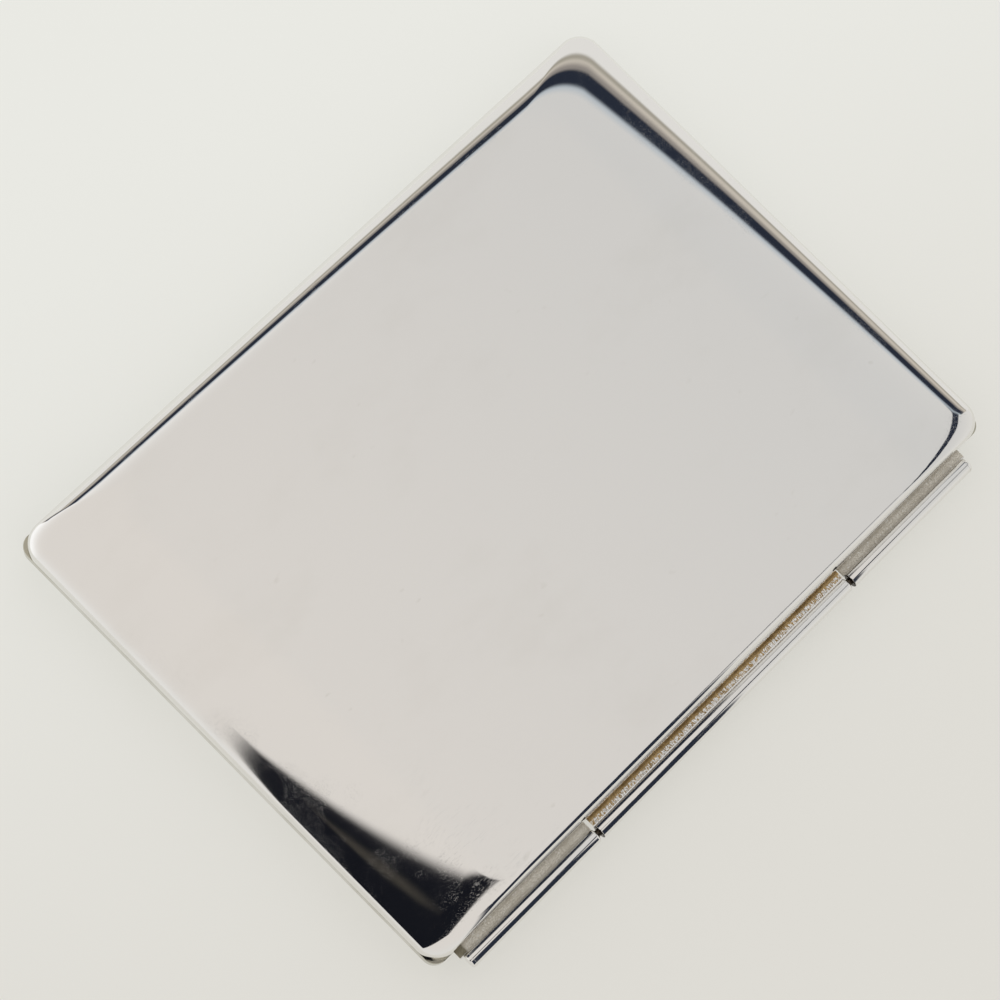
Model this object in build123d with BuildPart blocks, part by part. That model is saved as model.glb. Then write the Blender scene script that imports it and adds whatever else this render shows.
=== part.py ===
"""Hinged metal card case: two stamped shells on a three-knuckle hinge.

The case lies closed on its base. +Z is up, X runs along the hinge and -Y is the front edge
that opens. The origin is the centre of the base's flat underside.
"""
import os
from math import cos, radians, sin

from build123d import *

os.makedirs("parts", exist_ok=True)

# ---- Driving dimensions, in millimetres -------------------------------------------------

# Shells: length along X, depth along Y without the hinge, height along Z.
case_length = 95.0
case_depth = 69.7
case_height = 8.0
lid_corner_radius = 3.0
base_corner_radius = 1.7
sheet = 0.6
seam_gap = 0.15
lid_wall = 1.4
lid_end_round = 12.0
lid_front_round = 4.5
lid_hinge_round = 1.0
base_wall = 1.6
base_end_round = 2.6
base_side_round = 2.3
corner_growth = 2.0
round_angles = (0, 18, 36, 54, 72, 90)

# Hinge: a tube in three lengths, a pin, and a strip that joins each tube to its shell.
tube_radius = 0.95
pin_radius = 0.45
running_clearance = 0.05
hinge_offset = 2.05
hinge_centre = 0.75
middle_tube = 43.2
outer_tube = 20.8
tube_gap = 0.45
leaf_sheet = 0.4
leaf_overrun = 0.85
pin_cap = 0.5

# Inner frame: a thin band soldered inside the base's rim, standing up into the lid.
frame_sheet = 0.4
frame_clearance = 0.15
frame_rise = 1.2
frame_drop = 1.3
frame_hinge_side = 0.15

# Card tray: a rail behind the cards, and a sprung wire bail over them.
rail_sheet = 0.4
rail_y = 22.0
rail_length = 86.0
rail_height = 4.0
rail_foot = 1.6
wire_radius = 0.5
bail_axis_y = 26.2
bail_axis_z = 6.2
bail_half_width = 33.0
bail_reach = 33.0
bail_bend = 3.0
lug_sheet = 0.8
lug_x = 35.6
lug_width = 3.0
lug_foot = 2.4
lug_head = 0.85
spring_wire = 0.35
spring_length = 1.6
pivot_end = 0.4

# Catch: a leaf spring riveted behind the frame's front wall.
tongue_sheet = 0.3
tongue_height = 2.0
tongue_drop = 0.1
tongue_start = -9.6
tongue_end = 8.6
tongue_gap = 0.05
bump_x = 6.0
bump_radius = 0.45
bump_clearance = 0.08
notch_width = 3.4
notch_drop = 0.25
rivet_positions = (-8.6, -7.2)
rivet_radius = 0.4
rivet_clearance = 0.12
rivet_head = 0.55
rivet_head_height = 0.3
rivet_head_gap = 0.1

# ---- Derived places ---------------------------------------------------------------------

half_length = case_length / 2
half_depth = case_depth / 2
seam = case_height / 2
lid_rim = seam + seam_gap / 2
base_rim = seam - seam_gap / 2
lid_turn = seam + lid_wall
base_turn = seam - base_wall
hinge_y = half_depth + hinge_offset
inner_y = half_depth - sheet
outer_tube_start = middle_tube / 2 + tube_gap
outer_tube_end = outer_tube_start + outer_tube
frame_top = seam + frame_rise
frame_bottom = seam - frame_drop
frame_back = inner_y - leaf_sheet - frame_hinge_side
frame_front = -(inner_y - frame_clearance)
frame_half_length = half_length - sheet - frame_clearance
frame_corner = lid_corner_radius - sheet
tongue_face = frame_front + frame_sheet + tongue_gap
tongue_mid_z = seam - tongue_drop


def swept(rounds, inset, angle):
    """How far a shell's end, front and hinge edges have moved in at one angle of its round."""
    return [size - (size - inset) * cos(radians(angle)) for size in rounds]


def level(height, rounds, inset=0, angle=0):
    """The plane of a shell's outline, centred between its front and hinge edges."""
    _, front, back = swept(rounds, inset, angle)
    return Plane(origin=(0, (front - back) / 2, height))


def outline(rounds, corner, inset=0, angle=0):
    """Length, depth and corner radius of a shell's outline on that plane."""
    ends, front, back = swept(rounds, inset, angle)
    radius = corner - inset + corner_growth * (1 - cos(radians(angle)))
    return 2 * (half_length - ends), 2 * half_depth - front - back, radius


def hinge_plane(along):
    """Plane across the pin, this far along from the hinge's middle: sketch x is +Y, y is +Z."""
    origin = (hinge_centre + along, hinge_y, seam)
    return Plane(origin=origin, x_dir=(0, 1, 0), z_dir=(1, 0, 0))


def bail_plane(x):
    """Plane across the bail's pivot at x, with the same sketch directions."""
    return Plane(origin=(x, bail_axis_y, bail_axis_z), x_dir=(0, 1, 0), z_dir=(1, 0, 0))


def finish(piece, name):
    """Label a finished piece and write it."""
    piece.part.label = name
    export_step(piece.part, f"parts/{name}.step")


# ---- Lid shell: stamped sheet, broad soft ends and tight long edges ----------------------

lid_rounds = (lid_end_round, lid_front_round, lid_hinge_round)
with BuildPart() as lid_shell:
    with BuildSketch(level(lid_rim, lid_rounds)):
        RectangleRounded(*outline(lid_rounds, lid_corner_radius))
    extrude(amount=lid_turn - lid_rim)
    for angle in round_angles:
        rise = (case_height - lid_turn) * sin(radians(angle))
        with BuildSketch(level(lid_turn + rise, lid_rounds, angle=angle)):
            RectangleRounded(*outline(lid_rounds, lid_corner_radius, angle=angle))
    loft()
    with BuildSketch(level(lid_rim, lid_rounds, sheet)):
        RectangleRounded(*outline(lid_rounds, lid_corner_radius, sheet))
    extrude(amount=lid_turn - lid_rim, mode=Mode.SUBTRACT)
    for angle in round_angles:
        rise = (case_height - sheet - lid_turn) * sin(radians(angle))
        with BuildSketch(level(lid_turn + rise, lid_rounds, sheet, angle)):
            RectangleRounded(*outline(lid_rounds, lid_corner_radius, sheet, angle))
    loft(mode=Mode.SUBTRACT)
    # Notch in the back wall where the hinge strip passes through.
    with BuildSketch(Plane.XY.offset(lid_rim)):
        with Locations((hinge_centre, half_depth)):
            Rectangle(middle_tube, 3 * sheet)
    extrude(amount=leaf_sheet, mode=Mode.SUBTRACT)
finish(lid_shell, "lid_shell")

# ---- Base shell: squarer corners than the lid's, and a tight round to a flat underside ---

base_rounds = (base_end_round, base_side_round, base_side_round)
with BuildPart() as base_shell:
    with BuildSketch(level(base_turn, base_rounds)):
        RectangleRounded(*outline(base_rounds, base_corner_radius))
    extrude(amount=base_rim - base_turn)
    for angle in round_angles:
        drop = base_turn * sin(radians(angle))
        with BuildSketch(level(base_turn - drop, base_rounds, angle=angle)):
            RectangleRounded(*outline(base_rounds, base_corner_radius, angle=angle))
    loft()
    with BuildSketch(level(base_turn, base_rounds, sheet)):
        RectangleRounded(*outline(base_rounds, base_corner_radius, sheet))
    extrude(amount=base_rim - base_turn, mode=Mode.SUBTRACT)
    for angle in round_angles:
        drop = (base_turn - sheet) * sin(radians(angle))
        with BuildSketch(level(base_turn - drop, base_rounds, sheet, angle)):
            RectangleRounded(*outline(base_rounds, base_corner_radius, sheet, angle))
    loft(mode=Mode.SUBTRACT)
    # Two notches in the back wall for the outer hinge strips.
    notch = outer_tube + leaf_overrun
    with BuildSketch(Plane.XY.offset(base_rim)):
        with Locations(
            (hinge_centre - outer_tube_start - notch / 2, half_depth),
            (hinge_centre + outer_tube_start + notch / 2, half_depth),
        ):
            Rectangle(notch, 3 * sheet)
    extrude(amount=-leaf_sheet, mode=Mode.SUBTRACT)
finish(base_shell, "base_shell")

# ---- Base inner frame: band soldered inside the rim, stepped in where it enters the lid --

with BuildPart() as base_inner_frame:
    with BuildSketch(Plane.XY.offset(frame_bottom)):
        with Locations((0, (frame_back - inner_y) / 2)):
            RectangleRounded(2 * (half_length - sheet), frame_back + inner_y, frame_corner)
    extrude(amount=base_rim - frame_bottom)
    with BuildSketch(Plane.XY.offset(base_rim)):
        with Locations((0, (frame_back + frame_front) / 2)):
            RectangleRounded(2 * frame_half_length, frame_back - frame_front, frame_corner)
    extrude(amount=frame_top - base_rim)
    with BuildSketch(Plane.XY.offset(frame_bottom)):
        with Locations((0, (frame_back + frame_front) / 2)):
            RectangleRounded(
                2 * (frame_half_length - frame_sheet),
                frame_back - frame_front - 2 * frame_sheet,
                frame_corner - frame_sheet,
            )
    extrude(amount=frame_top - frame_bottom, mode=Mode.SUBTRACT)
    # Notch in the front wall for the catch's bump.
    with BuildSketch(Plane.XY.offset(seam - notch_drop)):
        with Locations((bump_x, frame_front)):
            Rectangle(notch_width, 4 * frame_sheet)
    extrude(amount=frame_rise + notch_drop, mode=Mode.SUBTRACT)
    with BuildSketch(Plane.XZ.offset(-frame_front - 2 * frame_sheet)):
        with Locations(*[(x, tongue_mid_z) for x in rivet_positions]):
            Circle(rivet_radius)
    extrude(amount=4 * frame_sheet, mode=Mode.SUBTRACT)
finish(base_inner_frame, "base_inner_frame")

# ---- Hinge: tubes, strips, pin and pin caps ----------------------------------------------

with BuildPart() as lid_knuckle:
    with BuildSketch(hinge_plane(-middle_tube / 2)):
        Circle(tube_radius)
        Circle(pin_radius + running_clearance, mode=Mode.SUBTRACT)
    extrude(amount=middle_tube)
finish(lid_knuckle, "lid_knuckle")

with BuildPart() as lid_hinge_leaf:
    with BuildSketch(hinge_plane(-middle_tube / 2)):
        wall_face = -hinge_offset - sheet
        with BuildLine():
            Polyline(
                (0, seam_gap / 2),
                (0, seam_gap / 2 + leaf_sheet),
                (wall_face, seam_gap / 2 + leaf_sheet),
                (wall_face, lid_wall),
                (wall_face - leaf_sheet, lid_wall),
                (wall_face - leaf_sheet, seam_gap / 2),
                close=True,
            )
        make_face()
        Circle(tube_radius, mode=Mode.SUBTRACT)
    extrude(amount=middle_tube)
finish(lid_hinge_leaf, "lid_hinge_leaf")

for side, name in ((-1, "left"), (1, "right")):
    tube_end = outer_tube_end if side < 0 else -outer_tube_start
    with BuildPart() as base_knuckle:
        with BuildSketch(hinge_plane(-tube_end)):
            Circle(tube_radius)
            Circle(pin_radius, mode=Mode.SUBTRACT)
        extrude(amount=outer_tube)
    finish(base_knuckle, f"base_knuckle_{name}")

    leaf_start = -outer_tube_end - leaf_overrun if side < 0 else outer_tube_start
    with BuildPart() as base_hinge_leaf:
        with BuildSketch(hinge_plane(leaf_start)):
            wall_face = -hinge_offset - sheet
            with BuildLine():
                Polyline(
                    (0, -seam_gap / 2),
                    (0, -seam_gap / 2 - leaf_sheet),
                    (wall_face, -seam_gap / 2 - leaf_sheet),
                    (wall_face, -base_wall),
                    (wall_face - leaf_sheet, -base_wall),
                    (wall_face - leaf_sheet, -seam_gap / 2),
                    close=True,
                )
            make_face()
            Circle(tube_radius, mode=Mode.SUBTRACT)
        extrude(amount=outer_tube + leaf_overrun)
    finish(base_hinge_leaf, f"base_hinge_leaf_{name}")

    cap_start = outer_tube_end if side > 0 else -outer_tube_end - pin_cap
    with BuildPart() as hinge_pin_cap:
        with BuildSketch(hinge_plane(cap_start)):
            Circle(tube_radius)
        extrude(amount=pin_cap)
        rim = hinge_pin_cap.edges().sort_by(Axis.X)[-1 if side > 0 else 0]
        fillet(rim, radius=pin_cap * 0.8)
    finish(hinge_pin_cap, f"hinge_pin_cap_{name}")

with BuildPart() as hinge_pin:
    with BuildSketch(hinge_plane(-outer_tube_end)):
        Circle(pin_radius)
    extrude(amount=2 * outer_tube_end)
finish(hinge_pin, "hinge_pin")

# ---- Card rail: a bent strip soldered to the base's floor behind the cards ---------------

with BuildPart() as card_rail:
    with BuildSketch(Plane.YZ.offset(-rail_length / 2)):
        with BuildLine():
            Polyline(
                (rail_y, sheet),
                (rail_y, sheet + rail_height),
                (rail_y + rail_sheet, sheet + rail_height),
                (rail_y + rail_sheet, sheet + rail_sheet),
                (rail_y + rail_foot, sheet + rail_sheet),
                (rail_y + rail_foot, sheet),
                close=True,
            )
        make_face()
    extrude(amount=rail_length)
finish(card_rail, "card_rail")

# ---- Card bail: one length of spring wire, with a lug and a coil spring at each end ------

with BuildPart() as card_bail:
    end_x = lug_x + lug_sheet / 2 + spring_length + pivot_end
    with BuildLine():
        FilletPolyline(
            (-end_x, bail_axis_y, bail_axis_z),
            (-bail_half_width, bail_axis_y, bail_axis_z),
            (-bail_half_width, bail_axis_y - bail_reach, bail_axis_z),
            (bail_half_width, bail_axis_y - bail_reach, bail_axis_z),
            (bail_half_width, bail_axis_y, bail_axis_z),
            (end_x, bail_axis_y, bail_axis_z),
            radius=(2 * wire_radius, bail_bend, bail_bend, 2 * wire_radius),
        )
    with BuildSketch(bail_plane(-end_x)):
        Circle(wire_radius)
    sweep()
finish(card_bail, "card_bail")

for side, name in ((-1, "left"), (1, "right")):
    with BuildPart() as bail_lug:
        lug_start = side * lug_x - lug_sheet / 2
        with BuildSketch(bail_plane(lug_start)):
            Circle(lug_head)
            with Locations((0, (sheet - bail_axis_z) / 2)):
                Rectangle(2 * lug_head, bail_axis_z - sheet)
            Circle(wire_radius + running_clearance, mode=Mode.SUBTRACT)
        extrude(amount=lug_sheet)
        with BuildSketch(Plane.XY.offset(sheet)):
            with Locations((side * (lug_x - lug_foot / 2), bail_axis_y)):
                Rectangle(lug_foot + lug_sheet, lug_width)
        extrude(amount=rail_sheet)
    finish(bail_lug, f"bail_lug_{name}")

    spring_start = lug_x + lug_sheet / 2 if side > 0 else -lug_x - lug_sheet / 2 - spring_length
    with BuildPart() as bail_spring:
        with BuildSketch(bail_plane(spring_start)):
            Circle(wire_radius + 2 * running_clearance + spring_wire)
            Circle(wire_radius + 2 * running_clearance, mode=Mode.SUBTRACT)
        extrude(amount=spring_length)
    finish(bail_spring, f"bail_spring_{name}")

# ---- Catch: leaf spring with a round bump, and its two rivets ----------------------------

with BuildPart() as catch_tongue:
    tongue_length = tongue_end - tongue_start
    tongue_mid_x = (tongue_start + tongue_end) / 2
    with BuildSketch(Plane.XZ.offset(-tongue_face)):
        with Locations((tongue_mid_x, tongue_mid_z)):
            SlotOverall(tongue_length, tongue_height)
        with Locations(*[(x, tongue_mid_z) for x in rivet_positions]):
            Circle(rivet_radius + rivet_clearance, mode=Mode.SUBTRACT)
    extrude(amount=-tongue_sheet)
    # The bump is a short rounded bar that reaches out through the frame's notch.
    bump_reach = inner_y - bump_clearance + tongue_face
    with BuildSketch(Plane.XZ.offset(-tongue_face)):
        with Locations((bump_x, seam + bump_radius)):
            Circle(bump_radius)
    extrude(amount=bump_reach)
    front_edge = catch_tongue.edges().sort_by(Axis.Y)[0]
    fillet(front_edge, radius=bump_reach / 2)
finish(catch_tongue, "catch_tongue")

with BuildPart() as catch_rivets:
    shank = frame_sheet + tongue_gap + tongue_sheet + rivet_head_gap
    with BuildSketch(Plane.XZ.offset(-frame_front)):
        with Locations(*[(x, tongue_mid_z) for x in rivet_positions]):
            Circle(rivet_radius)
    extrude(amount=-shank)
    with BuildSketch(Plane.XZ.offset(-frame_front - shank)):
        with Locations(*[(x, tongue_mid_z) for x in rivet_positions]):
            Circle(rivet_head)
    extrude(amount=-rivet_head_height)
finish(catch_rivets, "catch_rivets")
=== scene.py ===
"""A hinged metal card case, closed, on a pale table."""
from math import cos, pi, radians, sin
from random import Random

import bmesh
import bpy
from mathutils import Matrix, Vector


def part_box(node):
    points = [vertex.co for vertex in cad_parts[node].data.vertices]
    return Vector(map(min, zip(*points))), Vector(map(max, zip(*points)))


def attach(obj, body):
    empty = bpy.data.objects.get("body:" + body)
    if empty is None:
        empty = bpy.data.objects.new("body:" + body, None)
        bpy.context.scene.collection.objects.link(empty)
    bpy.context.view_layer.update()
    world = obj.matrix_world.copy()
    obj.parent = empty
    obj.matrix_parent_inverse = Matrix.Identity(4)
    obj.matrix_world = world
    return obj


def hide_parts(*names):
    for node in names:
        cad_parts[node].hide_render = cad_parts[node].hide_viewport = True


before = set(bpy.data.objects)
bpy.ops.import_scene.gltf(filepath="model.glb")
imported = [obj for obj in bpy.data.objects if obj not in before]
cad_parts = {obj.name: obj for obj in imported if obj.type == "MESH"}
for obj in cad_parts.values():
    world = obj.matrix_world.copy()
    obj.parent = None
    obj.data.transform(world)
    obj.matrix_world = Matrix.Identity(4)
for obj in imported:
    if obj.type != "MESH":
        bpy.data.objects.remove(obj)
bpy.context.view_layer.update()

mm = 0.001

# ---- Lid ----------------------------------------------------------------------------------
# A shallow cup pressed from one 0.6 mm sheet, silver plated and buffed to a mirror. The ends
# roll over softly, the long edges tightly, and the back wall is notched for the hinge strip.

sheet = 0.6 * mm
corner_growth = 2.0 * mm
corner_steps, wall_cuts, round_steps, crown_steps = 14, 22, 18, 14
edge_break = 0.07 * mm
weld = 1e-7


class Socket:
    """One output of a node. Arithmetic on it adds Math nodes to the same finish."""

    def __init__(self, finish, output):
        self.finish, self.output = finish, output

    def _math(self, operation, first, second):
        return self.finish.add("Math", {"operation": operation}, {0: first, 1: second})

    def __add__(self, other):
        return self._math("ADD", self, other)

    __radd__ = __add__

    def __sub__(self, other):
        return self._math("SUBTRACT", self, other)

    def __rsub__(self, other):
        return self._math("SUBTRACT", other, self)

    def __mul__(self, other):
        return self._math("MULTIPLY", self, other)

    __rmul__ = __mul__


class Nodes:
    """The nodes of one material or world, added one call at a time."""

    def __init__(self, owner, place):
        owner.use_nodes = True
        self.tree = owner.node_tree
        self.place = self.add("TexCoord", output=place)

    def add(self, kind, settings=None, values=None, output=0):
        """Add one node: its type, its settings, then the value or link of each socket."""
        node = self.tree.nodes.new("ShaderNode" + kind)
        for name, value in (settings or {}).items():
            if name == "stops":
                for stop, (where, shade) in zip(node.color_ramp.elements, value):
                    stop.position, stop.color = where, (shade, shade, shade, 1)
            else:
                setattr(node, name, value)
        for name, value in (values or {}).items():
            self.feed(node.inputs[name], value)
        return Socket(self, node.outputs[output])

    def feed(self, slot, value):
        if isinstance(value, Socket):
            self.tree.links.new(value.output, slot)
        else:
            slot.default_value = value

    def noise(self, size, stretch=(1, 1, 1), turn=0.0, detail=2.0, rough=0.5):
        """Noise whose grains are about size across, stretched and turned about Z."""
        spread = self.add("Mapping", None, {"Vector": self.place, "Rotation": (0, 0, turn),
                                            "Scale": tuple(1 / s for s in stretch)})
        return self.add("TexNoise", {"noise_dimensions": "3D"},
                        {"Vector": spread, "Scale": 1 / size, "Detail": detail, "Roughness": rough})

    def ramp(self, value, low, high, start=0.0, end=1.0):
        """0 below low, 1 above high, smooth between, then spread from start to end."""
        return self.add("MapRange", {"interpolation_type": "SMOOTHSTEP"},
                        {"Value": value, "From Min": low, "From Max": high,
                         "To Min": start, "To Max": end})

    def blend(self, factor, one, other):
        """One colour where factor is 0, the other where it is 1."""
        return self.add("Mix", {"data_type": "RGBA"},
                        {"Factor": factor, 6: one, 7: other}, output=2)

    def bump(self, height, distance, strength=1.0, below=None):
        values = {"Height": height, "Distance": distance, "Strength": strength}
        if below is not None:
            values["Normal"] = below
        return self.add("Bump", None, values)


class Finish(Nodes):
    """A finish: one principled shader and the nodes that feed it."""

    def __init__(self, name, metallic=1.0):
        self.material = bpy.data.materials.new(name)
        super().__init__(self.material, "Object")
        self.shader = self.tree.nodes["Principled BSDF"]
        self.shader.inputs["Metallic"].default_value = metallic

    def set(self, **inputs):
        names = {"color": "Base Color", "roughness": "Roughness", "normal": "Normal",
                 "metallic": "Metallic"}
        for name, value in inputs.items():
            self.feed(self.shader.inputs[names[name]], value)
        return self.material


def hairlines(finish, width, length, turns, amount):
    """Sparse straight scratches that run in several directions, 1 on a scratch and 0 off it."""
    lines = 0.0
    for turn in turns:
        grain = finish.noise(width, stretch=(length / width, 1, 1), turn=turn, detail=1.0)
        lines = finish.ramp(grain, 1 - amount, 1.04 - amount) + lines
    return lines


def polished_plate(name, color, tarnish, clean=0.04, worn=0.1, stain=None):
    """Buffed silver plate: near-mirror, with hairlines, faint smudges and a little tarnish."""
    finish = Finish(name)
    rubbed = finish.ramp(finish.noise(7 * mm, detail=2.0), 0.45, 0.6)
    scratch = hairlines(finish, 0.035 * mm, 3 * mm, (0.35, 0.95, 2.1, 2.75), 0.29) * rubbed
    wisp = finish.ramp(finish.noise(0.07 * mm, (50, 1, 1), -0.45, 2.0), 0.52, 0.72)
    wisp = wisp * finish.ramp(finish.noise(3 * mm, (2.5, 1, 1), -0.3), 0.5, 0.66)
    smudge = finish.ramp(finish.noise(11 * mm, (1.6, 1, 1), 0.5, 4.0, 0.6), 0.5, 0.78)
    freckle = finish.noise(1.3 * mm, (1.8, 1, 1), 0.4, 1.0)
    freckle = finish.ramp(freckle, 0.70, 0.78) * finish.ramp(finish.noise(10 * mm), 0.5, 0.64)
    mark = smudge * 0.14 + freckle * 0.24
    wave = finish.bump(finish.noise(26 * mm, detail=1.0), 0.05 * mm, 0.2)
    cut = finish.bump(scratch + wisp * 0.15, 0.0015 * mm, 0.35, below=wave)
    shade = finish.blend(mark, color, tarnish)
    if stain:
        shade = stain(finish, shade)
    rough = clean + scratch * (worn - clean) + wisp * 0.035 + smudge * 0.012 + freckle * 0.05
    return finish.set(color=shade, roughness=rough, normal=cut)


def satin_plate(name, color, shade, turn=0.0):
    """Plate that was only brushed: fine parallel grain with handling marks over it."""
    finish = Finish(name)
    grain = finish.noise(0.05 * mm, stretch=(160, 1, 1), turn=turn, detail=3.0)
    marks = hairlines(finish, 0.04 * mm, 6 * mm, (0.7, 2.3), 0.27)
    haze = finish.ramp(finish.noise(11 * mm, detail=4.0), 0.35, 0.75)
    return finish.set(color=finish.blend(haze * 0.7 + marks * 0.2, color, shade),
                      roughness=0.2 + grain * 0.16 + haze * 0.1,
                      normal=finish.bump(grain * 0.8 + marks * 0.4, 0.004 * mm, 0.5))


def cut_window(bm, low, high):
    """Cut away the part of a skin that lies inside the box between two corners."""
    def reaches(face):
        return all(min(v.co[i] for v in face.verts) < high[i] - weld
                   and max(v.co[i] for v in face.verts) > low[i] + weld for i in range(3))

    for axis in range(3):
        for edge in (low[axis], high[axis]):
            faces = [f for f in bm.faces if reaches(f)]
            geom = {*faces, *(e for f in faces for e in f.edges),
                    *(v for f in faces for v in f.verts)}
            point, normal = Vector((0, 0, 0)), Vector((0, 0, 0))
            point[axis], normal[axis] = edge, 1
            bmesh.ops.bisect_plane(bm, geom=list(geom), dist=weld, plane_co=point, plane_no=normal)
    bmesh.ops.delete(bm, geom=[f for f in bm.faces if reaches(f)], context="FACES")


def to_outline(verts, old, new):
    """Move points between rounded outlines, each (left, right), (front, back), corner."""
    for v in verts:
        for i in (0, 1):
            (low, high), (new_low, new_high) = old[i], new[i]
            if v.co[i] < low + old[2]:
                v.co[i] = new_low + new[2] * (v.co[i] - low) / old[2]
            elif v.co[i] > high - old[2]:
                v.co[i] = new_high - new[2] * (high - v.co[i]) / old[2]
            else:
                along = (v.co[i] - low - old[2]) / (high - low - 2 * old[2])
                v.co[i] = new_low + new[2] + along * (new_high - new_low - 2 * new[2])


def raise_cap(bm, cap, old, new, height):
    """Grow the cap's edge to a new outline and height, and return the new cap."""
    grown = bmesh.ops.extrude_face_region(bm, geom=[cap])["geom"]
    bmesh.ops.delete(bm, geom=[cap], context="FACES_ONLY")
    verts = [g for g in grown if isinstance(g, bmesh.types.BMVert)]
    to_outline(verts, old, new)
    for v in verts:
        v.co.z = height
    return next(g for g in grown if isinstance(g, bmesh.types.BMFace))


def pressed_cup(half_length, half_depth, wall, rise, rounds, corner, windows, dome=0.0):
    """A cup with its rim at z = 0: walls, an edge rounded by (ends, front, back), and a crown."""
    bm = bmesh.new()
    bmesh.ops.create_cube(bm, size=1)
    bmesh.ops.scale(bm, vec=(2 * half_length, 2 * half_depth, wall), verts=bm.verts)
    bmesh.ops.translate(bm, vec=(0, 0, wall / 2), verts=bm.verts)
    bmesh.ops.delete(bm, geom=[f for f in bm.faces if f.normal.z < -0.5], context="FACES_ONLY")
    upright = [e for e in bm.edges if abs(e.verts[0].co.z - e.verts[1].co.z) > wall / 2]
    bmesh.ops.bevel(bm, geom=upright, offset=corner, segments=corner_steps, profile=0.5,
                    affect="EDGES", material=-1)
    long_edges = [e for e in bm.edges if e.calc_length() > 10 * mm]
    bmesh.ops.subdivide_edges(bm, edges=long_edges, cuts=wall_cuts, use_grid_fill=False)
    for low, high in windows:
        cut_window(bm, low, high)
    cap = max(bm.faces, key=lambda f: len(f.verts))
    outline = ((-half_length, half_length), (-half_depth, half_depth), corner)
    top = wall + rise - dome
    for step in range(1, round_steps + 1):
        turn = pi / 2 * step / round_steps
        ends, front, back = [size * (1 - cos(turn)) for size in rounds]
        new = ((-half_length + ends, half_length - ends), (-half_depth + front, half_depth - back),
               corner + corner_growth * (1 - cos(turn)))
        cap = raise_cap(bm, cap, outline, new, wall + (rise - dome) * sin(turn))
        outline = new
    edge = outline
    middle = (edge[1][0] + edge[1][1]) / 2
    for step in range(1, crown_steps + 1):
        inset = (edge[1][1] - middle - mm) * (step / crown_steps) ** 1.4
        new = ((edge[0][0] + inset, edge[0][1] - inset), (edge[1][0] + inset, edge[1][1] - inset),
               min(edge[2], 0.7 * (edge[1][1] - middle - inset)))
        cap = raise_cap(bm, cap, outline, new, top)
        outline = new
    for v in bm.verts:
        if v.co.z > top - weld:
            out = (v.co.x / edge[0][1]) ** 2 + ((v.co.y - middle) / (edge[1][1] - middle)) ** 2
            v.co.z += dome * max(0.0, 1 - out / 2) ** 2
    return bm


def crease_sharp(bm, limit=radians(32)):
    """Smooth faces, with an edge kept sharp where it turns by more than the limit."""
    for f in bm.faces:
        f.smooth = True
    for e in bm.edges:
        e.smooth = len(e.link_faces) == 2 and e.calc_face_angle(pi) < limit


def piece(name, bm, body, slot, node, *finishes):
    """Turn a finished bmesh into the piece that stands for a CAD node on its body."""
    mesh = bpy.data.meshes.new(name)
    bm.to_mesh(mesh)
    bm.free()
    made = bpy.data.objects.new(name, mesh)
    bpy.context.scene.collection.objects.link(made)
    for finish in finishes:
        mesh.materials.append(finish)
    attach(made, body)
    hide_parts(node)
    return made


def thicken(made, thickness, inside=0):
    """Give a skin its thickness inwards, with the second finish inside if asked."""
    wall = made.modifiers.new("sheet", "SOLIDIFY")
    wall.thickness, wall.offset, wall.use_even_offset = thickness, -1, True
    wall.material_offset = inside
    return made


def soften(made, width=edge_break, segments=2, angle=40):
    """Break the sharp edges."""
    rounding = made.modifiers.new("edges", "BEVEL")
    rounding.width, rounding.segments, rounding.limit_method = width, segments, "ANGLE"
    rounding.angle_limit = radians(angle)


silver, silver_tarnish = (0.86, 0.85, 0.83, 1), (0.70, 0.68, 0.63, 1)
lid_silver = polished_plate("lid_silver", silver, silver_tarnish)
inside_silver = satin_plate("inside_silver", (0.68, 0.67, 0.64, 1), (0.58, 0.56, 0.51, 1))

lid_low, lid_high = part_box("lid_shell")
strip_low, strip_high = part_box("lid_hinge_leaf")
lid_wall, lid_rise, lid_dome = 1.325 * mm, 2.6 * mm, 0.05 * mm
lid_rounds, lid_corner = (12.0 * mm, 4.5 * mm, 1.0 * mm), 3.0 * mm
strip_sheet = 0.4 * mm

lid = pressed_cup(lid_high.x, lid_high.y, lid_wall, lid_rise, lid_rounds, lid_corner,
                  [((strip_low.x, lid_high.y - mm, -mm),
                    (strip_high.x, lid_high.y + mm, strip_sheet))], lid_dome)
bmesh.ops.translate(lid, vec=(0, 0, lid_low.z), verts=lid.verts)
crease_sharp(lid)
lid = piece("lid", lid, "lid", "lid_plate", "lid_shell", lid_silver, inside_silver)
soften(thicken(lid, sheet, inside=1))

# ---- Base ---------------------------------------------------------------------------------
# The lower cup, pressed with squarer corners and a tight round down to a flat underside. Its
# back wall has two notches for the outer hinge strips, and olive tarnish with painted shade gathers
# round its sides.

base_low, base_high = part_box("base_shell")
base_wall, base_rise = 1.525 * mm, 2.4 * mm
base_windows = []
for side in ("left", "right"):
    low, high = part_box("base_hinge_leaf_" + side)
    base_windows.append(((low.x, base_high.y - mm, -mm), (high.x, base_high.y + mm, strip_sheet)))
base_rounds, base_corner = (2.6 * mm, 2.3 * mm, 2.3 * mm), 1.7 * mm
# Olive for tarnish and for painted shade on the base's walls.
olive_tarnish_and_shade = (0.38, 0.36, 0.27, 1)
base = pressed_cup(base_high.x, base_high.y, base_wall, base_rise, base_rounds, base_corner,
                   base_windows)
bmesh.ops.scale(base, vec=(1, 1, -1), verts=base.verts)
bmesh.ops.reverse_faces(base, faces=base.faces)
bmesh.ops.translate(base, vec=(0, 0, base_high.z), verts=base.verts)
crease_sharp(base)


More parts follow.
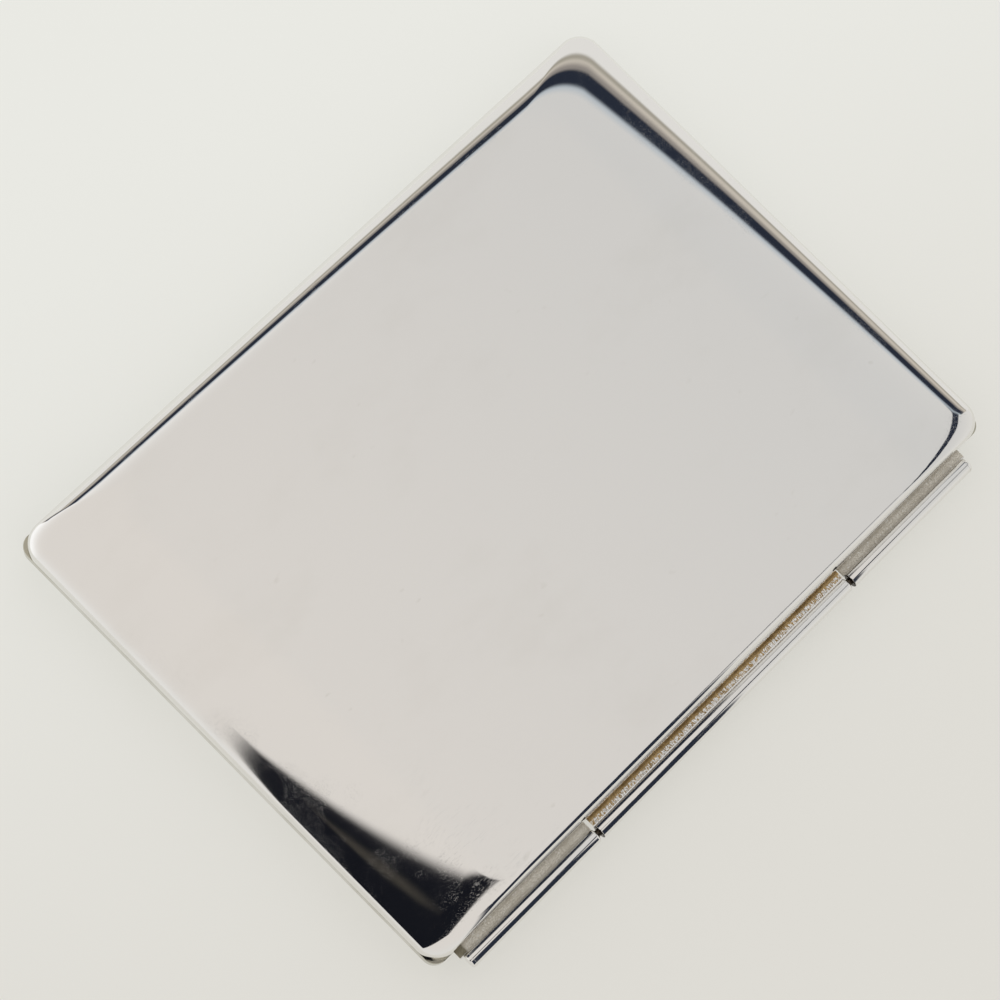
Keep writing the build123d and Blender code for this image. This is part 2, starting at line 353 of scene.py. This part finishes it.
def side_tarnish_and_shade(finish, shade):
    """Olive clouds along the base's walls, part tarnish and part painted shade, thicker at its
    corners, none beneath.
    """
    across, depth, height = [finish.add("SeparateXYZ", None, {0: finish.place}, output=i)
                             * (1 / mm) for i in range(3)]
    patch = finish.noise(6 * mm, detail=5.0, rough=0.65)
    wall = finish.ramp(height + patch * 1.2 - 0.6, 0.5, 1.6)
    reach = finish.add("Math", {"operation": "ABSOLUTE"}, {0: across})
    reach = reach + finish.add("Math", {"operation": "ABSOLUTE"}, {0: depth})
    corner = finish.ramp(reach, 76.0, 80.0)
    cloud = finish.ramp(patch + corner * 0.3, 0.3, 0.75)
    return finish.blend(wall * (0.35 + cloud * 0.5), shade, olive_tarnish_and_shade)


base_silver = polished_plate("base_silver", silver, silver_tarnish, clean=0.07, worn=0.2,
                             stain=side_tarnish_and_shade)
base = piece("base", base, "base", "base_plate", "base_shell", base_silver, inside_silver)
soften(thicken(base, sheet, inside=1))

# ---- Inner frame --------------------------------------------------------------------------
# A thin band soldered inside the base's rim. It steps in where it stands up into the lid, and
# its front is notched for the catch.

frame_low, frame_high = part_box("base_inner_frame")
frame_sheet, lid_clearance, frame_corner = 0.4 * mm, 0.15 * mm, 2.4 * mm
frame_front, frame_back = frame_low.y + lid_clearance, frame_high.y
frame_half = frame_high.x - lid_clearance

band = bmesh.new()
bmesh.ops.create_cube(band, size=1)
bmesh.ops.scale(band, vec=(2 * frame_half, frame_back - frame_front, frame_high.z - frame_low.z),
                verts=band.verts)
bmesh.ops.delete(band, geom=[f for f in band.faces if abs(f.normal.z) > 0.5],
                 context="FACES_ONLY")
uprights = [e for e in band.edges if abs(e.verts[0].co.z - e.verts[1].co.z) > mm]
bmesh.ops.bevel(band, geom=uprights, offset=frame_corner, segments=8, profile=0.5,
                affect="EDGES", material=-1)
bmesh.ops.translate(band, vec=(0, (frame_back + frame_front) / 2,
                               (frame_high.z + frame_low.z) / 2), verts=band.verts)
step_z = base_high.z
for height in (step_z - 0.1 * mm, step_z + 0.02 * mm):
    bmesh.ops.bisect_plane(band, geom=[*band.verts, *band.edges, *band.faces], dist=weld,
                           plane_co=(0, 0, height), plane_no=(0, 0, 1))
for v in band.verts:
    if v.co.z < step_z:
        v.co.x *= frame_high.x / frame_half
        v.co.y = v.co.y + min(0.0, v.co.y) / frame_front * (frame_low.y - frame_front)
bump_x, notch_half = 6.0 * mm, 1.7 * mm
cut_window(band, (bump_x - notch_half, frame_low.y - mm, step_z - 0.15 * mm),
           (bump_x + notch_half, frame_front + mm, frame_high.z + mm))
crease_sharp(band)
frame_silver = satin_plate("frame_silver", (0.80, 0.79, 0.76, 1), (0.62, 0.59, 0.52, 1),
                           turn=0.1)
band = piece("inner_frame", band, "base", "frame_plate", "base_inner_frame", frame_silver)
soften(thicken(band, frame_sheet))

# ---- Hinge tube ---------------------------------------------------------------------------
# Three lengths of drawn tube, the middle one on the lid and the outer two on the base. Their
# ends are rounded over, and the outer ends are closed by the peened pin.


def shaded_cut_ends(finish, shade):
    """Painted shade: black on the tube ends at the two cuts between the tubes."""
    along = finish.add("SeparateXYZ", None, {0: finish.place}, output=0) * (1 / mm)
    middle = finish.add("Math", {"operation": "ABSOLUTE"}, {0: along - hinge_middle})
    cut = finish.ramp(middle, tube_cut - 0.36, tube_cut - 0.28)
    cut = cut * finish.ramp(middle, tube_cut + 0.28, tube_cut + 0.36, 1.0, 0.0)
    return finish.blend(cut, shade, cut_shade_black)


# Near black, used for painted shade at the cuts between the tubes.
cut_shade_black = (0.025, 0.018, 0.012, 1)
hinge_middle = (strip_low.x + strip_high.x) / 2 / mm
cut_x = (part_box("base_knuckle_right")[0].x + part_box("lid_knuckle")[1].x) / 2 / mm
tube_cut = cut_x - hinge_middle
tube_silver = polished_plate("tube_silver", silver, silver_tarnish, clean=0.06, worn=0.16,
                             stain=shaded_cut_ends)
# Near black: the pin's steel colour also carries painted shade where it shows in the cuts.
pin_steel_and_gap_shade = satin_plate("pin_steel_and_gap_shade", (0.10, 0.08, 0.06, 1), (0.03, 0.022, 0.016, 1),
                        turn=pi / 2)
tube_radius, bore_radius, tube_round, cut_end = 0.95 * mm, 0.5 * mm, 0.3 * mm, 0.03 * mm
hinge_y, hinge_z = [sum(c) / 2 for c in list(zip(*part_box("lid_knuckle")))[1:]]


def turned(profile, steps=56):
    """Spin a profile of (x, radius) points about the X axis into a closed turned shape."""
    bm = bmesh.new()
    verts = [bm.verts.new((x, radius, 0)) for x, radius in profile]
    edges = [bm.edges.new(pair) for pair in zip(verts, verts[1:])]
    bmesh.ops.spin(bm, geom=[*verts, *edges], cent=(0, 0, 0), axis=(1, 0, 0), angle=2 * pi,
                   steps=steps, use_merge=True, use_duplicate=False)
    bmesh.ops.remove_doubles(bm, verts=bm.verts, dist=1e-6)
    bmesh.ops.recalc_face_normals(bm, faces=bm.faces)
    return bm


def rounded_end(x, side, radius, size, steps=6):
    """Profile points round the outer corner of a tube's end, from its face to its side."""
    turns = [pi / 2 * i / steps for i in range(steps + 1)]
    return [(x - side * size * (1 - cos(t)), radius - size * (1 - sin(t))) for t in turns]


for node, body in (("lid_knuckle", "lid"), ("base_knuckle_left", "base"),
                   ("base_knuckle_right", "base")):
    low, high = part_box(node)
    left_round = cut_end if node.endswith("left") else tube_round
    right_round = cut_end if node.endswith("right") else tube_round * 0.5
    left = [(low.x, bore_radius), *rounded_end(low.x, -1, tube_radius, left_round)]
    right = [(high.x, bore_radius), *rounded_end(high.x, 1, tube_radius, right_round)]
    tube = turned([*left, *reversed(right), (low.x, bore_radius)])
    bmesh.ops.translate(tube, vec=(0, hinge_y, hinge_z), verts=tube.verts)
    crease_sharp(tube)
    piece(node.replace("knuckle", "tube"), tube, body, "tube_plate", node, tube_silver)

for side, name, cap_round in ((-1, "left", 0.45 * mm), (1, "right", 0.15 * mm)):
    low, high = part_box("hinge_pin_cap_" + name)
    inner, outer = (low.x, high.x) if side > 0 else (high.x, low.x)
    cap = turned([(inner, 0), (inner, tube_radius),
                  *reversed(rounded_end(outer, side, tube_radius, cap_round)), (outer, 0)])
    bmesh.ops.translate(cap, vec=(0, hinge_y, hinge_z), verts=cap.verts)
    crease_sharp(cap)
    piece("pin_end_" + name, cap, "base", "tube_plate", "hinge_pin_cap_" + name, tube_silver)

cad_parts["hinge_pin"].data.materials.clear()
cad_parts["hinge_pin"].data.materials.append(pin_steel_and_gap_shade)

# ---- Hinge strips -------------------------------------------------------------------------
# Bent strips that join the tubes to the shells. The lid's is brass with fine cross ribs, its
# plating worn through; the base's two are dull grey solder-coated strips with a rough grain,
# and a blob of solder stands on the right one's outer end.


def hinge_strip(low, high, cuts, sign):
    """An L-shaped strip: flat out to the tube, and a leg soldered up the wall's inner face."""
    bm = bmesh.new()
    bmesh.ops.create_cube(bm, size=1)
    web_low = high.z - strip_sheet if sign < 0 else low.z
    bmesh.ops.scale(bm, vec=(high.x - low.x, high.y - low.y, strip_sheet), verts=bm.verts)
    bmesh.ops.translate(bm, vec=((low.x + high.x) / 2, (low.y + high.y) / 2,
                                 web_low + strip_sheet / 2), verts=bm.verts)
    bmesh.ops.bisect_plane(bm, geom=[*bm.verts, *bm.edges, *bm.faces], dist=weld,
                           plane_co=(0, low.y + strip_sheet, 0), plane_no=(0, 1, 0))
    root = [f for f in bm.faces if f.normal.z * sign > 0.5
            and f.calc_center_median().y < low.y + strip_sheet]
    leg = bmesh.ops.extrude_face_region(bm, geom=root)["geom"]
    bmesh.ops.delete(bm, geom=root, context="FACES_ONLY")
    leg_end = high.z if sign > 0 else low.z
    for v in (g for g in leg if isinstance(g, bmesh.types.BMVert)):
        v.co.z = leg_end
    for offset in (0.35, 0.7):
        bmesh.ops.bisect_plane(bm, geom=[*bm.verts, *bm.edges, *bm.faces], dist=weld,
                               plane_co=(0, base_high.y + offset * (high.y - base_high.y), 0),
                               plane_no=(0, 1, 0))
    along = [e for e in bm.edges if abs(e.verts[0].co.x - e.verts[1].co.x) > 5 * mm]
    bmesh.ops.subdivide_edges(bm, edges=along, cuts=cuts, use_grid_fill=True)
    return bm


def rib_brass():
    """Brown worn brass next to the lid, with flakes of plate along the tube's side painted
    near-white as glints.
    """
    finish = Finish("rib_brass")
    across = finish.add("SeparateXYZ", None, {0: finish.place}, output=1) * (1 / mm)
    grime_and_gap_shade = finish.ramp(finish.noise(1.6 * mm, detail=4.0), 0.35, 0.7)
    rib = finish.ramp(finish.noise(0.1 * mm, (1, 9, 9), 0.0, 1.0), 0.35, 0.6)
    edge = finish.ramp(across, 34.95, 35.25, 1.0, 0.0)
    brass = finish.blend(grime_and_gap_shade * 0.4 + rib * 0.3 + edge * 0.5, (0.66, 0.47, 0.23, 1),
                         (0.22, 0.14, 0.06, 1))
    flake = finish.noise(0.15 * mm, (1, 2.6, 1), 0.4, 2.0, 0.6)
    # Near-white flakes along the tube's side: plate left on the strip, painted brighter as glints.
    flake_glints = finish.ramp(across + flake * 0.6, 35.62, 35.78) * finish.ramp(flake, 0.44, 0.53)
    rim = finish.ramp(across, *plated_rim)
    shade = finish.blend(flake_glints, brass, (0.96, 0.95, 0.92, 1))
    return finish.set(color=finish.blend(rim, shade, silver),
                      roughness=0.42 - flake_glints * 0.2 - rim * 0.14,
                      normal=finish.bump((rib * 0.5 + flake) * (1 - rim), 0.06 * mm, 0.7))


def grey_grain():
    """Dull solder grey with a coarse cast grain, browner at its edges, its rim in silver plate, and
    painted shade at its outer end and beside the cuts.
    """
    finish = Finish("grey_grain")
    along, across = [finish.add("SeparateXYZ", None, {0: finish.place}, output=i) * (1 / mm)
                     for i in (0, 1)]
    grain = finish.noise(0.14 * mm, stretch=(1.5, 1, 1), detail=4.0, rough=0.7)
    stain = finish.ramp(finish.noise(3 * mm, detail=3.0), 0.4, 0.7)
    edge = finish.ramp(across, 35.0, 35.3, 1.0, 0.0) + finish.ramp(across, 35.6, 36.0)
    shade = finish.blend(finish.ramp(grain, 0.4, 0.66), (0.60, 0.56, 0.475, 1),
                         (1, 0.97, 0.89, 1))
    shade = finish.blend(stain * 0.3 + edge * 0.4, shade, (0.50, 0.45, 0.36, 1))
    glint = finish.ramp(finish.noise(0.2 * mm, (1.6, 1, 1), 0.2, 1.0), 0.63, 0.7)
    shade = finish.blend(glint * 0.7, shade, (0.95, 0.94, 0.9, 1))
    # Painted shade: dark olive over the +X end of the right strip.
    olive = finish.ramp(along + grain, 43.6, 44.0)
    shade = finish.blend(olive * 0.85, shade, (0.13, 0.11, 0.055, 1))
    middle = finish.add("Math", {"operation": "ABSOLUTE"}, {0: along - hinge_middle})
    rim = finish.ramp(across, *plated_rim)
    shade = finish.blend(rim, shade, silver)
    # Painted shade: near black on the strip beside each cut between the tubes.
    grime_and_gap_shade = finish.ramp(middle, tube_cut + 0.1, tube_cut + 0.2, 1.0, 0.0)
    return finish.set(color=finish.blend(grime_and_gap_shade, shade, cut_shade_black), metallic=0.1,
                      roughness=0.45 + grain * 0.15 - glint * 0.15 - rim * 0.25,
                      normal=finish.bump(grain * (1 - rim), 0.05 * mm, 0.8))


plated_rim = (35.88, 35.95)
rng = Random(7)
rib_pitch, rib_height = 0.19 * mm, 0.045 * mm
ribs = int((strip_high.x - strip_low.x) / rib_pitch)
strip = hinge_strip(strip_low, strip_high, 2 * ribs - 1, 1)
rib_rise = [rib_height * rng.uniform(0.3, 1.0) for _ in range(2 * ribs + 1)]
web_top = strip_low.z + strip_sheet
for v in strip.verts:
    column = round((v.co.x - strip_low.x) / (strip_high.x - strip_low.x) * 2 * ribs)
    if column % 2 and abs(v.co.z - web_top) < 1e-6 and v.co.y > base_high.y:
        v.co.z -= rib_rise[column]
crease_sharp(strip, radians(60))
piece("middle_hinge_strip", strip, "lid", "ribbed_brass", "lid_hinge_leaf", rib_brass())

grain_height = 0.02 * mm
solder_length, solder_edge, solder_rise = 1.3 * mm, 35.8 * mm, 0.3 * mm
grey = grey_grain()
for name in ("left", "right"):
    low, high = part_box("base_hinge_leaf_" + name)
    strip = hinge_strip(low, high, 119, -1)
    for v in strip.verts:
        if abs(v.co.z - high.z) < 1e-6 and v.co.y > base_high.y:
            v.co.z -= rng.uniform(0, grain_height)
            solder = (v.co.x - high.x + solder_length) / solder_length
            if name == "right" and 0 < solder < 1 and v.co.y < solder_edge:
                v.co.z += solder_rise * sin(pi * solder)
    crease_sharp(strip, radians(60))
    piece("outer_hinge_strip_" + name, strip, "base", "grey_strip", "base_hinge_leaf_" + name,
          grey)

# ---- Card rail and bail lugs --------------------------------------------------------------
# Small parts bent from plated sheet and soldered to the base's floor. The rail stops the cards
# at the back, and each lug carries one end of the bail.


def tidied(node):
    """A CAD part's own shape as one welded skin, with its flat faces whole."""
    bm = bmesh.new()
    bm.from_mesh(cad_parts[node].data)
    bmesh.ops.remove_doubles(bm, verts=bm.verts, dist=weld)
    bmesh.ops.dissolve_limit(bm, angle_limit=radians(1), verts=bm.verts, edges=bm.edges)
    crease_sharp(bm)
    return bm


soften(piece("card_stop_rail", tidied("card_rail"), "base", "frame_plate", "card_rail",
             frame_silver), 0.08 * mm)
for name in ("left", "right"):
    soften(piece("bail_bracket_" + name, tidied("bail_lug_" + name), "base", "frame_plate",
                 "bail_lug_" + name, frame_silver), 0.08 * mm)

# ---- Card bail ----------------------------------------------------------------------------
# One length of 1 mm spring wire, bent to a wide loop that lies over the cards. Its two ends
# turn outwards through the lugs.

wire_radius = 0.5 * mm
bail_low, bail_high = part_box("card_bail")
pivot_y, pivot_z = bail_high.y - wire_radius, (bail_low.z + bail_high.z) / 2
half_width, bail_bend, pivot_bend = 33.0 * mm, 3.0 * mm, 1.0 * mm


def wire(start, heading, moves, radius, sides=20):
    """Draw a round wire from a start point: ("run", length) or ("bend", radius, angle) moves."""
    bm = bmesh.new()
    ring = bmesh.ops.create_circle(bm, segments=sides, radius=radius, cap_ends=True)["verts"]
    bmesh.ops.rotate(bm, verts=ring, cent=(0, 0, 0),
                     matrix=Vector((0, 0, 1)).rotation_difference(heading).to_matrix())
    bmesh.ops.translate(bm, vec=start, verts=ring)
    spot, way = start.copy(), heading.copy()
    edges = list(bm.edges)
    for kind, *sizes in moves:
        if kind == "run":
            grown = bmesh.ops.extrude_edge_only(bm, edges=edges)["geom"]
            bmesh.ops.translate(bm, vec=way * sizes[0],
                                verts=[g for g in grown if isinstance(g, bmesh.types.BMVert)])
            spot = spot + way * sizes[0]
        else:
            bend, angle = sizes
            side = 1 if angle > 0 else -1
            centre = spot + side * bend * Vector((-way.y, way.x, 0))
            grown = bmesh.ops.spin(bm, geom=edges, cent=centre, axis=(0, 0, 1), angle=angle,
                                   steps=10, use_merge=False, use_duplicate=False)["geom_last"]
            turn = Matrix.Rotation(angle, 3, "Z")
            spot, way = centre + turn @ (spot - centre), turn @ way
        edges = [g for g in grown if isinstance(g, bmesh.types.BMEdge)]
    bmesh.ops.contextual_create(bm, geom=edges)
    bmesh.ops.recalc_face_normals(bm, faces=bm.faces)
    return bm


end_run = bail_high.x - half_width - pivot_bend
arm = (pivot_y - bail_low.y - wire_radius) - pivot_bend - bail_bend
bar = 2 * (half_width - bail_bend)
bail = wire(Vector((bail_low.x, pivot_y, pivot_z)), Vector((1, 0, 0)),
            [("run", end_run), ("bend", pivot_bend, -pi / 2), ("run", arm),
             ("bend", bail_bend, pi / 2), ("run", bar), ("bend", bail_bend, pi / 2),
             ("run", arm), ("bend", pivot_bend, -pi / 2), ("run", end_run)], wire_radius)
crease_sharp(bail)
wire_steel = satin_plate("wire_steel", (0.70, 0.69, 0.67, 1), (0.42, 0.40, 0.36, 1), turn=0.0)
soften(piece("wire_bail", bail, "bail", "spring_steel", "card_bail", wire_steel),
       0.15 * mm, 3, 60)

# ---- Bail springs -------------------------------------------------------------------------
# A short coil of thin wire round each end of the bail, outside its lug, which lifts the bail.

coil_turns, coil_wire = 4, 0.17 * mm
for name in ("left", "right"):
    low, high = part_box("bail_spring_" + name)
    coil_radius = (high.z - low.z) / 2 - coil_wire
    coil_steps = 26 * coil_turns
    pitch = (high.x - low.x - 2 * coil_wire) / coil_turns
    coil = bmesh.new()
    ring = bmesh.ops.create_circle(coil, segments=10, radius=coil_wire, cap_ends=True)["verts"]
    bmesh.ops.rotate(coil, verts=ring, cent=(0, 0, 0), matrix=Matrix.Rotation(pi / 2, 3, "X"))
    bmesh.ops.translate(coil, verts=ring, vec=(low.x + coil_wire, pivot_y,
                                               pivot_z + coil_radius))
    last = bmesh.ops.spin(coil, geom=coil.edges[:], cent=(0, pivot_y, pivot_z), axis=(1, 0, 0),
                          dvec=(pitch * coil_turns / coil_steps, 0, 0),
                          angle=2 * pi * coil_turns, steps=coil_steps, use_merge=False,
                          use_duplicate=False)["geom_last"]
    bmesh.ops.contextual_create(coil, geom=[g for g in last
                                            if isinstance(g, bmesh.types.BMEdge)])
    bmesh.ops.recalc_face_normals(coil, faces=coil.faces)
    crease_sharp(coil)
    piece("bail_coil_" + name, coil, "base", "spring_steel", "bail_spring_" + name, wire_steel)

# ---- Catch --------------------------------------------------------------------------------
# A brass leaf spring behind the frame's front wall, with a round bump that grips the lid. Two
# domed rivets hold its left end.


def catch_brass():
    """Rolled spring brass, lacquer gone, browned unevenly with bright rub marks."""
    finish = Finish("catch_brass")
    grain = finish.noise(0.03 * mm, stretch=(90, 1, 1), detail=2.0)
    brown = finish.ramp(finish.noise(1.8 * mm, detail=4.0), 0.35, 0.75)
    return finish.set(color=finish.blend(brown, (0.70, 0.55, 0.27, 1), (0.42, 0.30, 0.13, 1)),
                      roughness=0.2 + grain * 0.15 + brown * 0.15,
                      normal=finish.bump(grain, 0.004 * mm, 0.6))


rolled_brass = catch_brass()
soften(piece("catch_spring", tidied("catch_tongue"), "catch", "catch_brass", "catch_tongue",
             rolled_brass), 0.05 * mm)
soften(piece("catch_rivet_pair", tidied("catch_rivets"), "base", "catch_brass", "catch_rivets",
             rolled_brass), 0.12 * mm, 3)

# ---- Table, light and camera --------------------------------------------------------------
# A pale table that glows with painted light, dimmer towards the hinge side, under an even overhead
# light.
# Dark cards, seen only in the polish and only at its first reflection, give the metal something to
# mirror, as studio flags do.

table = bmesh.new()
bmesh.ops.create_grid(table, x_segments=1, y_segments=1, size=3.0)
table_mesh = bpy.data.meshes.new("table")
table.to_mesh(table_mesh)
table.free()
table_top = bpy.data.objects.new("table", table_mesh)
bpy.context.scene.collection.objects.link(table_top)
table_top.location.z = base_low.z
paper = Finish("glowing_paper", metallic=0.0)
slope = paper.add("VectorMath", {"operation": "DOT_PRODUCT"},
                  {0: paper.place, 1: Vector((0.35, 0.94, 0))}, output=1) * (1 / mm)
slope = slope + paper.noise(60 * mm, detail=3.0) * 20 - 10
# Painted light: the paper glows, brighter at the front and dimmer towards the hinge side, so the
# case casts little visible shade on it.
paper.feed(paper.shader.inputs["Emission Color"],
           paper.blend(paper.ramp(slope, -70, 70), (0.575, 0.582, 0.55, 1),
                       (0.495, 0.485, 0.45, 1)))
paper.feed(paper.shader.inputs["Emission Strength"], 1.0)
table_mesh.materials.append(paper.set(color=(0.28, 0.278, 0.268, 1), roughness=0.9))

navy, black, beige = (0.022, 0.028, 0.045, 1), (0.008, 0.009, 0.013, 1), (0.62, 0.57, 0.50, 1)
away, along = Vector((-0.7071, -0.7071, 0)), Vector((-0.7071, 0.7071, 0))
ray_depth = 8


def flag(name, corners, paint_face):
    """A flat card seen only by reflection. paint_face gives its colour and how solid it is."""
    bm = bmesh.new()
    bm.faces.new([bm.verts.new(Vector(c) * mm) for c in corners])
    mesh = bpy.data.meshes.new(name)
    bm.to_mesh(mesh)
    bm.free()
    card = bpy.data.objects.new(name, mesh)
    bpy.context.scene.collection.objects.link(card)
    paint = Finish(name + "_paint", metallic=0.0)
    shade, cover = paint_face(paint)
    bounces = paint.add("LightPath", output=ray_depth)
    paint.feed(paint.shader.inputs["Emission Color"], shade)
    paint.feed(paint.shader.inputs["Alpha"], paint.ramp(bounces, 1.2, 1.8, 1, 0) * cover)
    paint.feed(paint.shader.inputs["Emission Strength"], 1.0)
    paint.set(color=(0, 0, 0, 1), roughness=1.0)
    paint.shader.inputs["Specular IOR Level"].default_value = 0.0
    mesh.materials.append(paint.material)
    card.visible_camera = card.visible_diffuse = card.visible_shadow = False


def distance_from(nodes, origin, normal):
    """How far, in millimetres, a place lies from a plane through origin, along its normal."""
    offset = nodes.add("VectorMath", {"operation": "DOT_PRODUCT"},
                       {0: nodes.place, 1: Vector(normal).normalized()}, output=1)
    return offset * (1 / mm) - Vector(origin).dot(Vector(normal).normalized())


def nearest(nodes, *distances):
    """The smallest of several distances."""
    least = distances[0]
    for other in distances[1:]:
        least = nodes.add("Math", {"operation": "MINIMUM"}, {0: least, 1: other})
    return least


def far_card_face(nodes):
    """Bands up the far card: pale at its foot, a thin olive line, beige, then navy to the top."""
    reach = distance_from(nodes, (0, 0, 0), along)
    height = distance_from(nodes, (0, 0, 0), (0, 0, 1))
    drop = nodes.ramp(reach, -130, 60, 22, 0)
    level = height + drop
    lower = level + nodes.ramp(reach, 40, 110, -6, 4)
    shade = nodes.blend(nodes.ramp(lower, 52, 62), (0.84, 0.83, 0.81, 1), (0.40, 0.375, 0.32, 1))
    shade = nodes.blend(nodes.ramp(lower, 63, 72), shade, beige)
    shade = nodes.blend(nodes.ramp(level, 75, 88), shade, (0.30, 0.275, 0.255, 1))
    shade = nodes.blend(nodes.ramp(level, 88, 95), shade, navy)
    shade = nodes.blend(nodes.ramp(level, 112, 122), shade, (0.50, 0.56, 0.62, 1))
    return shade, nodes.ramp(level, 116, 134, 1, 0)


far_reach, far_half, far_height = 115, 190, 136
far_start, far_end = [away * far_reach + along * side * far_half for side in (-1, 1)]
flag("far_flag", [(*far_start.xy, 0), (*far_end.xy, 0), (*far_end.xy, far_height),
                  (*far_start.xy, far_height)], far_card_face)


def overhead_face(nodes):
    """A dark wedge over the case: soft along its long edge, with a faint warm streak inside."""
    slope_edge = distance_from(nodes, (20, 24, 0), (0.276, 0.961, 0))
    inside = nearest(nodes, slope_edge, distance_from(nodes, (312, -38, 0), (0.043, 1, 0)),
                     distance_from(nodes, (-50, 22, 0), (0.5, -0.87, 0)),
                     distance_from(nodes, (0, 150, 0), (0, -1, 0)))
    streak = nodes.ramp(slope_edge, 6, 18) * nodes.ramp(slope_edge, 20, 32, 1, 0)
    streak = streak * nodes.ramp(distance_from(nodes, (90, 0, 0), (1, 0, 0)), 0, 60)
    streak = streak * nodes.ramp(distance_from(nodes, (235, 0, 0), (1, 0, 0)), -40, 0, 1, 0)
    return (nodes.blend(streak, black, (0.055, 0.05, 0.043, 1)), nodes.ramp(inside, -16, -4))


overhead_left, overhead_right, overhead_front, overhead_back = -25, 1300, -120, 160
overhead_height = 440
flag("overhead_flag", [(overhead_left, overhead_front, overhead_height),
                       (overhead_right, overhead_front, overhead_height),
                       (overhead_right, overhead_back, overhead_height),
                       (overhead_left, overhead_back, overhead_height)], overhead_face)


def near_face(nodes):
    """A dark upright shape beyond the hinge, its left edge leaning out as it rises."""
    left = nodes.ramp(distance_from(nodes, (-106, 0, 200), (1, 0, 0.14)), 0, 10)
    return navy, left * nodes.ramp(distance_from(nodes, (20, 0, 0), (1, 0, 0)), 0, 60, 1, 0)


near_reach, near_left, near_right, near_height = 330, -200, 90, 690
flag("near_flag", [(near_left, near_reach, 0), (near_right, near_reach, 0),
                   (near_right, near_reach, near_height),
                   (near_left, near_reach, near_height)], near_face)


def toward(azimuth, elevation, reach=400):
    """A place that many millimetres from the case, at an azimuth and elevation in degrees."""
    turn, lift = radians(azimuth), radians(elevation)
    return reach * Vector((cos(lift) * cos(turn), cos(lift) * sin(turn), sin(lift)))


# A dark cable hung beyond the hinge: azimuth, elevation and half its width, all in degrees.
cable = [(181, 28, 3.5), (172, 35, 3.5), (160, 43, 3.5), (148, 53, 4), (134, 60, 5), (108, 60, 6)]
for number, (start, end) in enumerate(zip(cable, cable[1:])):
    flag(f"cable_flag_{number}",
         [toward(azimuth, elevation + half * side) for (azimuth, elevation, half), side
          in ((start, -1), (end, -1), (end, 1), (start, 1))], lambda nodes: (navy, 1.0))

zenith, warm_zenith = (0.70, 0.697, 0.69, 1), (0.80, 0.765, 0.73, 1)
horizon, front_horizon = (0.80, 0.79, 0.765, 1), (1.1, 1.1, 1.1, 1)
world = bpy.data.worlds.new("studio")
bpy.context.scene.world = world
sky = Nodes(world, "Generated")
sky_x, sky_y, sky_z = [sky.add("SeparateXYZ", None, {0: sky.place}, output=i) for i in range(3)]
overhead = sky.blend(sky.ramp(sky_x, -0.42, -0.1), zenith, warm_zenith)
low_sky = sky.blend(sky.ramp(sky_y, 0.1, -0.7), horizon, front_horizon)
sky.feed(sky.tree.nodes["Background"].inputs["Color"],
         sky.blend(sky.ramp(sky_z, 0.25, 0.9), low_sky, overhead))

camera_data = bpy.data.cameras.new("camera")
camera = bpy.data.objects.new("camera", camera_data)
bpy.context.scene.collection.objects.link(camera)
bpy.context.scene.camera = camera
camera_data.sensor_width, camera_data.lens = 36, 129.4
camera_data.clip_start, camera_data.clip_end = 0.01, 20
aim = Vector((2.26, 0.60, 4.0)) * mm
elevation, azimuth, roll = radians(74.08), radians(19.83), radians(-0.29)
camera_distance = 429.7 * mm
back = Vector((cos(elevation) * cos(azimuth), cos(elevation) * sin(azimuth), sin(elevation)))
right = (-back).cross(Vector((-1, -1, 0))).normalized()
up = right.cross(-back)
right, up = cos(roll) * right + sin(roll) * up, cos(roll) * up - sin(roll) * right
camera.matrix_world = Matrix.Translation(aim + back * camera_distance) @ Matrix(
    (right, up, back)).transposed().to_4x4()

bpy.context.scene.view_settings.view_transform = "Standard"
